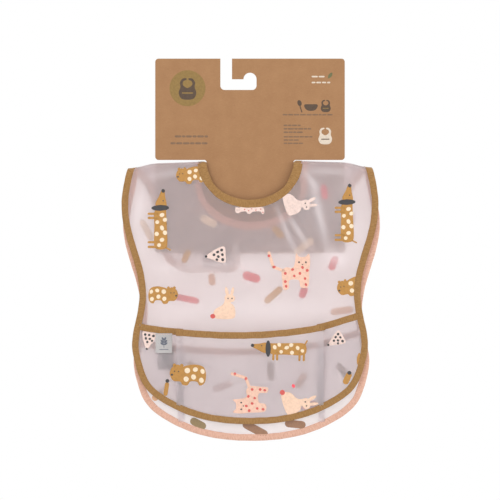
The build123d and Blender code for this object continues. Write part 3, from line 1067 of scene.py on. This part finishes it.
def ink_object(name, shapes, place, start_lift):
    """Printed shapes as one thin piece with an ink for each colour."""
    colours = sorted({shape["colour"] for shape in shapes})
    all_points, all_faces, all_slots = [], [], []
    count = 0
    for shape in shapes:
        flat, corners = triangles_of(shape["loop"], INK_STEP)
        low = start_lift + INK_LAYER * shape["layer"]
        points, faces = thicken(flat, corners, place, low + INK_THICK, low)
        all_points.append(points)
        all_faces += [tuple(i + count for i in face) for face in faces]
        all_slots += [colours.index(shape["colour"])] * len(faces)
        count += len(points)
    return make_object(name, np.concatenate(all_points), all_faces, [INKS[c] for c in colours], all_slots)


# ---------------------------------------------------------------- pieces of one bib
def bend_body(bib, piece):
    """Bakes the piece's placement into its mesh; the bend distances are read, but nothing bends the piece.
    """
    near, far = (d * MM for d in bib["bend"])
    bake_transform(piece)


def bend_strap(bib, side, piece):
    """Bakes the piece's placement into its mesh; the ring's radius is read, but nothing bends the piece."""
    sign = SIGN[side]
    radius, _ = ring(bib, sign)
    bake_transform(piece)


def bend_panel(bib, piece):
    """Bakes the piece's placement into its mesh."""
    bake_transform(piece)


def bend_pleat(bib, side, piece):
    """Bakes the piece's placement into its mesh."""
    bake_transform(piece)


def fit(pieces, slot, carry):
    """Attaches pieces to a body to ride on, or hands them to a call that bakes their placement; the slot is
    not used.
    """
    for piece in pieces:
        if isinstance(carry, str):
            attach(piece, carry)
        else:
            carry(piece)


def bind(bib, name, edge, place, carry, **shape):
    """Folded tape over an edge."""
    tape = tape_object(f"{name}_tape", edge, place, TAPES[bib["tape"]], **shape)
    fit([tape], bib["tape"], carry)
    return tape


def sew(bib, name, edge, place, carry, lifts=(STITCH_LIFT, -STITCH_LIFT)):
    """The stitches that hold a tape."""
    inward = TAPE_WIDTH * SEAM_PLACE
    rows = thread_object(f"{name}_stitches", edge, place, THREADS[bib["tape"]], inward, lifts)
    fit([rows], bib["tape"], carry)


def top_line(bib, start, end):
    """Points along the fold's highest line between two places."""
    u = np.linspace(start, end, max(2, int(abs(end - start) / 3.0)))
    return np.stack([u, apex_v(bib, u)], axis=1)


def body_pieces(bib):
    name = bib["name"]
    place, carry = partial(on_front, bib), partial(bend_body, bib)
    outer, neck = body_edge(bib), neck_edge(bib)
    film_outer, film_neck = beside(outer, TUCK), beside(neck, TUCK)
    right_top = top_line(bib, film_outer[-1][0], film_neck[0][0])
    left_top = top_line(bib, film_neck[-1][0], film_outer[0][0])
    loop = np.concatenate([film_outer, right_top[1:-1], film_neck, left_top[1:-1]])
    film = sheet_object(f"{name}_bib_film", loop, place, FILMS[name], painted_highlight=partial(painted_highlight_of, bib))

    def swell(path):
        """The tape is thicker where the pocket's film is sewn in too."""
        return 1 + POCKET_SEAM_SWELL * smoothstep((mouth_v(bib, path[:, 0]) - path[:, 1]) / 10.0)

    def pull(v):
        """How far the neck's tape is drawn into the opening near the shoulders."""
        return NECK_TAPE_PULL * smoothstep((v + 24.0) / 14.0) * smoothstep((bib["fold_v"] + 8.0 - v) / 3.0)

    def extra(path):
        """How much wider than usual the neck's tape is."""
        low_share = smoothstep((bib["neck_low"] + 26.0 - path[:, 1]) / 26.0)
        return NECK_TAPE_EXTRA * low_share + 1.3 * pull(path[:, 1])

    binding = bind(bib, f"{name}_bib", outer, place, carry, swell=swell, seed=3)
    pulled = beside(neck, -pull(neck[:, 1])[:, None])
    neck_binding = bind(bib, f"{name}_neck", pulled, place, carry, extra=extra, seed=5)
    sew(bib, f"{name}_bib", outer, place, carry)
    sew(bib, f"{name}_neck", neck, place, carry)
    printed = ink_object(f"{name}_print", PRINTS[name]["body"], place, FILM_THICK / 2 + 0.02)
    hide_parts(f"{name}_body_film")
    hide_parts(f"{name}_body_binding")
    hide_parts(f"{name}_neck_binding")
    fit((film, printed), "frosted_film", carry)


def strap_pieces(bib, side):
    name = f"{bib['name']}_{side}"
    place, carry = partial(on_strap, bib, side), partial(bend_strap, bib, side)
    edge = strap_edge(bib, side)
    inner = beside(edge, TUCK)
    top_u = np.linspace(inner[-1][0], inner[0][0], 24)
    top = np.stack([top_u, apex_v(bib, SIGN[side] * top_u)], axis=1)
    inner[0][1], inner[-1][1] = top[-1][1], top[0][1]
    loop = np.concatenate([inner, top[1:-1]])
    film = sheet_object(f"{name}_strap_sheet", loop, place, FILMS["front"])
    binding = bind(bib, f"{name}_strap", edge, place, carry, seed=7 + SIGN[side])
    sew(bib, f"{name}_strap", edge, place, carry)
    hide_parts(f"{name}_strap_film", f"{name}_shoulder_film")
    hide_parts(f"{name}_strap_binding", f"{name}_shoulder_binding")
    fit([film], "frosted_film", carry)


def patch_piece(bib, side):
    """Hook patch on the inner face of the right strap, loop patch on the outer face of the left."""
    name = bib["name"]
    kind = "loop" if side == "left" else "hook"
    low, high = (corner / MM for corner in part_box(f"{name}_{kind}_patch"))
    middle, half = (low + high) / 2, (high - low) / 2
    loop = []
    for quarter, (su, sv) in enumerate(((1, 1), (-1, 1), (-1, -1), (1, -1))):
        for turn in np.linspace(quarter, quarter + 1, 6) * math.pi / 2:
            u = su * (half.x - PATCH_CORNER) + PATCH_CORNER * math.cos(turn)
            v = sv * (half.z - PATCH_CORNER) + PATCH_CORNER * math.sin(turn)
            loop.append((u, v))
    backing = high.y if side == "right" else low.y

    def place(u, v, lift):
        rim = np.minimum(half.x - np.abs(u), half.z - np.abs(v))
        crown = 0.55 + 0.45 * smoothstep(rim / 1.5)
        y = backing - SIGN[side] * lift * np.where(lift > 0, crown, 1.0)
        return np.stack([u + middle.x, y, v + middle.z], axis=1)

    flat, corners = triangles_of(resample_loop(np.array(loop), 1.2), 1.5)
    points, faces = thicken(flat, corners, place, high.y - low.y, 0.0)
    piece = make_object(f"{name}_{kind}_tape_square", points, faces, [PILES[kind]])
    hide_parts(f"{name}_{kind}_patch")
    fit([piece], "hook_and_loop", f"{name}_{side}_strap")


def mouth_line(bib, start, end):
    """The pocket's top edge between two places."""
    u = np.linspace(start, end, max(2, int(abs(end - start) / 1.5)))
    return np.stack([u, mouth_v(bib, u)], axis=1)


def pocket_pieces(bib):
    """The pocket's panel, which hinges along its lower fold."""
    name = bib["name"]
    place, carry = partial(on_panel, bib), partial(bend_panel, bib)
    top = mouth_line(bib, PANEL_HALF_WIDTH, -PANEL_HALF_WIDTH)
    tuck = top - (0.0, TUCK)
    sewn = beside(body_edge(bib), POCKET_INSET)
    sewn = sewn[sewn[:, 1] < mouth_v(bib, 0.0)]
    u = np.linspace(-PANEL_HALF_WIDTH, PANEL_HALF_WIDTH, 60)
    bottom = np.stack([u, np.interp(u, sewn[:, 0], sewn[:, 1])], axis=1)
    right = upright(PANEL_HALF_WIDTH, bottom[-1][1], tuck[0][1], 24)
    left = upright(-PANEL_HALF_WIDTH, tuck[-1][1], bottom[0][1], 24)
    loop = np.concatenate([bottom, right[1:-1], tuck, left[1:-1]])
    film = sheet_object(f"{name}_pocket_sheet", loop, place, FILMS["pocket"], centre=0.02, step=2.0)
    mouth = bind(bib, f"{name}_pocket", top, place, carry, seed=9)
    sew(bib, f"{name}_pocket", top, place, carry)
    printed = ink_object(f"{name}_pocket_print", PRINTS[name]["pocket"], place, FILM_THICK / 2 + 0.08)
    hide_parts(f"{name}_pocket_film")
    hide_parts(f"{name}_pocket_binding")
    fit((film, printed), "frosted_film", carry)


def wing_pieces(bib, side):
    """The pocket's film beside the panel, and the end of the mouth's tape on it."""
    name, sign = bib["name"], SIGN[side]
    place, carry = partial(on_wing, bib), f"{name}_bib"
    line = beside(body_edge(bib), POCKET_INSET)
    line = line[(line[:, 1] < mouth_v(bib, line[:, 0]) - TUCK) & (line[:, 0] * sign > PLEAT_FOLD_U)]
    if side == "left":
        line = line[::-1]
    top_u = np.linspace(line[-1][0], sign * PLEAT_FOLD_U, 16)[1:]
    top = np.stack([top_u, mouth_v(bib, top_u) - TUCK], axis=1)
    down = upright(sign * PLEAT_FOLD_U, top[-1][1], line[0][1], 24)[1:-1]
    loop = np.concatenate([line, top, down])
    film = sheet_object(f"{name}_{side}_pocket_wing", loop, place, FILMS["pocket"], centre=0.01)
    inner = beside(body_edge(bib), TAPE_WIDTH)
    inner = inner[inner[:, 0] * sign > 0]
    meeting = np.argmin(np.abs(inner[:, 1] - mouth_v(bib, inner[:, 0])))
    path = mouth_line(bib, inner[meeting][0] + sign, sign * PLEAT_FOLD_U)
    if side == "left":
        path = path[::-1]

    def raised(u, v, lift):
        return on_wing(bib, u, v, lift + MOUTH_TAPE_LIFT)

    mouth = bind(bib, f"{name}_{side}_mouth", path, raised, carry, thick=0.9, seed=12 + sign)
    sew(bib, f"{name}_{side}_mouth", path, raised, carry, (MOUTH_STITCH_LIFT,))
    if side == "left":
        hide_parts(f"{name}_pocket_rim_film")
        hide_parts(f"{name}_pocket_binding_ends")
    fit([film], "frosted_film", carry)


def gusset_pieces(bib, side):
    """The pleat that lets the pocket open, and the tape along its top."""
    name = f"{bib['name']}_{side}"
    place, carry = partial(on_gusset, bib, side), partial(bend_pleat, bib, side)
    low = POCKET_HINGE_V - bib["drop"] - 2.0
    top = float(mouth_v(bib, SIGN[side] * PLEAT_FOLD_U))
    high = top - TUCK
    ends = [np.stack([np.linspace(PLEAT_WIDTH, 0.0, 5)[1:-1], np.full(3, high)], axis=1)]
    ends += [np.stack([np.linspace(0.0, PLEAT_WIDTH, 5)[1:-1], np.full(3, low)], axis=1)]
    up, down = upright(PLEAT_WIDTH, low, high, 30), upright(0.0, high, low, 30)
    loop = np.concatenate([up, ends[0], down, ends[1]])
    film = sheet_object(f"{name}_pleat", loop, place, FILMS["pleat"], step=2.5)
    path = np.stack([np.linspace(PLEAT_WIDTH, 0.0, 8), np.full(8, top)], axis=1)
    band = tape_object(f"{name}_pleat_tape", path, place, TAPES[bib["tape"]], thick=0.8, seed=15)
    fit([film], "frosted_film", carry)
    fit([band], bib["tape"], carry)


def rim_print(bib):
    """The print on the pocket's film beside the panel."""
    name = bib["name"]
    place = partial(on_wing, bib)
    printed = ink_object(f"{name}_rim_print", PRINTS[name]["wing"], place, FILM_THICK / 2 + 0.04)
    fit([printed], "frosted_film", f"{name}_bib")


def label_pieces(bib):
    """The label, its woven sprig and its sewn top edge."""
    name = bib["name"]
    place = partial(on_label, bib)
    top = LABEL_TOP - bib["drop"]
    low, middle = top - LABEL_HEIGHT, top - LABEL_HEIGHT / 2
    left, right = LABEL_U - LABEL_WIDTH / 2, LABEL_U + LABEL_WIDTH / 2
    around = [(left, top), (left, low), (right, low), (right, top), (left, top)]
    loop = np.concatenate([resample(around[i : i + 2], 1.5)[:-1] for i in range(4)])
    shape = {"thick": LABEL_THICK, "step": 1.6, "centre": LABEL_THICK / 2}
    label = sheet_object(f"{name}_woven_label", loop, place, LABEL_CLOTH, **shape)
    shapes = [capsule(LABEL_U, middle - 4.6, LABEL_U, middle + 3.0, 0.3, "label_mark")]
    for rise, turn in ((-1.8, 35), (0.6, 40), (3.2, 62)):
        out = 2.3 * math.cos(math.radians(turn))
        for sign, heading in ((1, turn), (-1, 180 - turn)):
            where = (LABEL_U + sign * out, middle + rise + 1.2, 4.6, heading)
            shapes += placed(leaf("label_mark", 0), *where)
    shapes += [capsule(LABEL_U - 4.5, middle - 6.6, LABEL_U + 4.5, middle - 6.6, 0.35, "label_mark")]
    mark = ink_object(f"{name}_label_mark", shapes, place, LABEL_THICK + 0.01)
    inset = 1.1
    seam = resample([(right - inset, top - inset), (left + inset, top - inset)], 1.0)
    lifts = (LABEL_THICK,)
    thread = thread_object(f"{name}_label_stitches", seam, place, THREADS["pink_binding"], 0.0, lifts, 2.6)
    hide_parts(f"{name}_label")
    fit((label, mark, thread), "woven_label", "front_label_flap" if name == "front" else "rear_bib")


# ---------------------------------------------------------------- the two prints
def front_body_print():
    rows = [
        (bear(), -77.5, -11.5, 30.0, 4),
        (long_dog(), -91.0, -26.5, 62.0, -90),
        (long_dog(), 104.5, -21.0, 60.0, -90),
        (lying_cat(), -15.5, -48.0, 31.0),
        (rabbit("pale", False), 50.5, -38.0, 32.0, -72),
        (mouse(), -35.5, -95.0, 22.0, 4),
        (cat(), 19.0, -112.0, 45.0),
        (rabbit(), -27.5, -146.5, 32.0),
        (bear(), -75.5, -136.0, 31.0, 0, True),
    ]
    return animals(rows) + cut_off(placed(bear(), 91.5, -131.0, 32.0, 14), 80.0, 112.0)


def front_pocket_print():
    rows = [
        (bear(), -84.0, -218.0, 38.0, -3),
        (long_dog(), 2.0, -188.5, 57.0, -2),
        (cat(), 0.5, -217.5, 44.0, 90, True),
        (rabbit(), 50.0, -246.0, 34.0, -72),
    ]
    return animals(rows) + dots([(45.5, -231.5)], 2.0, "rose", 2)


def front_wing_print():
    shapes = animals([(mouse(), -106.5, -184.0, 19.0, 78), (mouse(), 90.0, -184.0, 19.0, 30)])
    shapes += [capsule(-88.5, -240.0, -87.0, -230.0, 2.2), oval(-86.6, -226.5, 2.0, 2.0, 0, "night", 2)]
    shapes += [capsule(100.5, -227.0, 103.5, -220.5, 3.2), oval(104.2, -218.0, 2.2, 2.0, 0, "night", 2)]
    return shapes + [oval(114.0, -203.5, 2.0, 6.5, -0.1)]


REAR_BODY_BARS = [
    (-45.0, -59.0, 19.0, 8.5, -28, "cream"),
    (-110.0, -68.0, 24.0, 7.0, -62, "cream"),
    (-68.5, -96.0, 15.0, 6.5, 65, "gold"),
    (-41.5, -120.0, 13.0, 7.0, 95, "tan"),
    (0.0, -117.5, 19.0, 9.0, -18, "red"),
    (23.0, -136.5, 24.0, 7.0, 42, "gold"),
    (54.5, -133.5, 13.0, 7.5, 70, "red"),
    (86.0, -103.0, 16.0, 7.5, 68, "red"),
    (76.5, -28.5, 16.0, 7.0, 100, "rose"),
    (55.0, -85.5, 25.0, 7.5, 40, "cream"),
    (-68.0, -140.5, 27.0, 6.5, -12, "red"),
    (95.0, -153.0, 24.0, 7.5, 8, "tan"),
    (28.0, -70.5, 16.0, 7.0, -45, "gold"),
    (104.0, -60.0, 18.0, 7.0, 70, "pale"),
]
REAR_POCKET_BARS = [
    (-56.0, -271.5, 18.0, 8.0, -28, "olive"),
    (4.0, -277.5, 29.0, 8.5, -28, "umber"),
    (46.0, -272.0, 22.0, 8.0, -6, "umber"),
    (-30.0, -232.0, 22.0, 7.0, 20, "pale"),
    (20.0, -216.0, 20.0, 7.0, 92, "umber"),
    (52.0, -226.0, 18.0, 7.0, 60, "tan"),
    (-60.0, -212.0, 18.0, 7.0, -35, "gold"),
    (60.0, -252.0, 18.0, 7.0, 15, "rose"),
]
REAR_WING_BARS = [(96.0, -216.0, 18.0, 7.0, -50, "umber"), (-96.0, -240.0, 20.0, 7.0, 40, "tan")]

PRINTS = {
    "front": {"body": front_body_print(), "pocket": front_pocket_print(), "wing": front_wing_print()},
    "rear": {"body": bars(REAR_BODY_BARS), "pocket": bars(REAR_POCKET_BARS), "wing": bars(REAR_WING_BARS)},
}


# ---------------------------------------------------------------- the card and its print
def bib_icon(u, v, height, colour, mark_colour, layer=0):
    """Bib with an open neck and a bar for its pocket."""
    left = [
        (-0.05, 0.5), (-0.24, 0.48), (-0.36, 0.3), (-0.34, 0.08), (-0.42, -0.2), (-0.3, -0.46), (0.0, -0.52),
    ]
    neck = [(0.07, 0.42), (0.2, 0.36), (0.22, 0.18), (0.0, 0.04)]
    right, neck_left = ([(-x, y) for x, y in reversed(half[:-1])] for half in (left, neck))
    shapes = [blob(left + right + neck + neck_left, colour, layer)]
    shapes += [capsule(-0.24, -0.2, 0.24, -0.2, 0.03, mark_colour, layer + 1)]
    return placed(shapes, u, v, height)


def dashes(u, v, length, height, colour, seed, gap=0.9):
    """A row of short marks that stands for a line of small print."""
    draw = random.Random(seed)
    made = []
    at = u
    while at < u + length - 1.5:
        size = min(draw.uniform(1.6, 5.0), u + length - at)
        made.append(capsule(at, v, at + size, v, height / 2, colour))
        at += size + gap + height
    return made


def card_print():
    """A round badge, icons of a spoon, a bowl and bibs, a leaf, and rows of marks."""
    shapes = [oval(-65.6, 80.6, 18.9, 18.9, 0.0, "card_olive")]
    shapes += bib_icon(-65.6, 80.0, 22.0, "card_dark", "card_olive", 1)
    shapes += placed(leaf("card_leaf", 0), 84.2, 94.0, 7.5, 55)
    shapes.append(oval(52.0, 65.0, 2.2, 3.2, 0.3, "card_dark"))
    shapes.append(capsule(52.6, 61.6, 54.4, 55.6, 0.55, "card_dark"))
    bowl = [(-0.5, 0.16), (0.0, 0.2), (0.5, 0.16), (0.36, -0.2), (0.0, -0.3), (-0.36, -0.2)]
    shapes += placed([blob(bowl, "card_dark")], 64.0, 61.0, 14.0)
    shapes += bib_icon(79.5, 62.0, 12.5, "card_dark", "card_olive")
    shapes += bib_icon(79.0, 30.5, 17.0, "card_white", "card_dark")
    shapes += dashes(65.5, 92.8, 12.0, 1.6, "card_white", 2) + dashes(65.5, 86.6, 18.0, 1.6, "card_white", 3)
    shapes += dashes(35.0, 52.8, 51.0, 1.5, "card_grey", 5, 0.5)
    for row, length in enumerate((17.0, 28.0, 19.0)):
        shapes += dashes(36.0, 41.6 - 3.6 * row, length, 1.6, "card_grey", 7 + row, 0.4)
    for row, length in enumerate((29.0, 16.0, 19.0)):
        shapes += dashes(36.0, 29.6 - 3.4 * row, length, 1.4, "card_grey", 11 + row, 0.4)
    shapes += dashes(-78.0, 30.0, 37.0, 2.2, "card_grey", 15, 0.5)
    shapes += dashes(-82.5, 22.8, 41.0, 2.2, "card_grey", 17, 0.5)
    return shapes


def card_pieces():
    """The card keeps its CAD shape and gets a board material and a print."""
    card = frame["nodes"]["header_card"]
    board = kraft_board()
    if not card.material_slots:
        card.data.materials.append(board)
    for material_slot in card.material_slots:
        material_slot.link = "OBJECT"
        material_slot.material = board
    fit([ink_object("card_print", card_print(), on_card, 0.0)], "kraft_card", "pack_card")


card_pieces()
for bib in BIBS.values():
    body_pieces(bib)
    pocket_pieces(bib)
    for side in SIGN:
        wing_pieces(bib, side)
        gusset_pieces(bib, side)
    rim_print(bib)
    label_pieces(bib)
    for side in SIGN:
        strap_pieces(bib, side)
        patch_piece(bib, side)


# ---------------------------------------------------------------- floor, light and camera
FLOOR_HALF, FLOOR_Z = 1.4, -0.6
PACK_MIDDLE = (0.0, 0.0, -0.18)
CAMERA_DISTANCE, VIEW_WIDTH = 3.0, 0.525
VIEW_CENTRE_V = -89.25


def floor():
    mesh = bpy.data.meshes.new("studio_floor")
    corners = [(x * FLOOR_HALF, y * FLOOR_HALF, FLOOR_Z) for x, y in ((-1, -1), (1, -1), (1, 1), (-1, 1))]
    mesh.from_pydata(corners, [], [(0, 1, 2, 3)])
    s = Shader("studio_floor", Roughness=0.6)
    mottle = s.noise(s.place(), 8.0, 2.0)
    s.feed(Base_Color=s.ramp(mottle, (0.3, (0.8, 0.8, 0.79, 1)), (0.7, (0.83, 0.83, 0.82, 1))))
    mesh.materials.append(s.material)
    piece = bpy.data.objects.new("studio_floor", mesh)
    bpy.context.scene.collection.objects.link(piece)


def softbox(name, place, width, height, power):
    """Rectangular light that faces the middle of the pack."""
    light = bpy.data.lights.new(name, "AREA")
    light.shape = "RECTANGLE"
    light.size, light.size_y, light.energy = width, height, power
    lamp = bpy.data.objects.new(name, light)
    bpy.context.scene.collection.objects.link(lamp)
    lamp.location = place
    lamp.rotation_euler = (Vector(PACK_MIDDLE) - Vector(place)).to_track_quat("-Z", "Y").to_euler()


def studio():
    world = bpy.data.worlds.new("studio_white")
    world.use_nodes = True
    sky = world.node_tree.nodes["Background"]
    sky.inputs["Color"].default_value = (1.0, 1.0, 1.0, 1.0)
    sky.inputs["Strength"].default_value = 1.0
    bpy.context.scene.world = world
    bpy.context.scene.view_settings.view_transform = "Standard"
    softbox("key_light", (-1.1, -1.3, 0.9), 0.8, 0.8, 6.0)
    softbox("side_light", (1.4, -0.7, 0.2), 0.4, 1.2, 5.0)


def camera():
    data = bpy.data.cameras.new("photo_camera")
    data.sensor_width = 36.0
    data.lens = data.sensor_width * CAMERA_DISTANCE / VIEW_WIDTH
    view = bpy.data.objects.new("photo_camera", data)
    view.location = (0.0, -CAMERA_DISTANCE, (SHOULDER_Z + VIEW_CENTRE_V) * MM)
    view.rotation_euler = (math.radians(90), 0.0, 0.0)
    bpy.context.scene.collection.objects.link(view)
    bpy.context.scene.camera = view


floor()
studio()
camera()
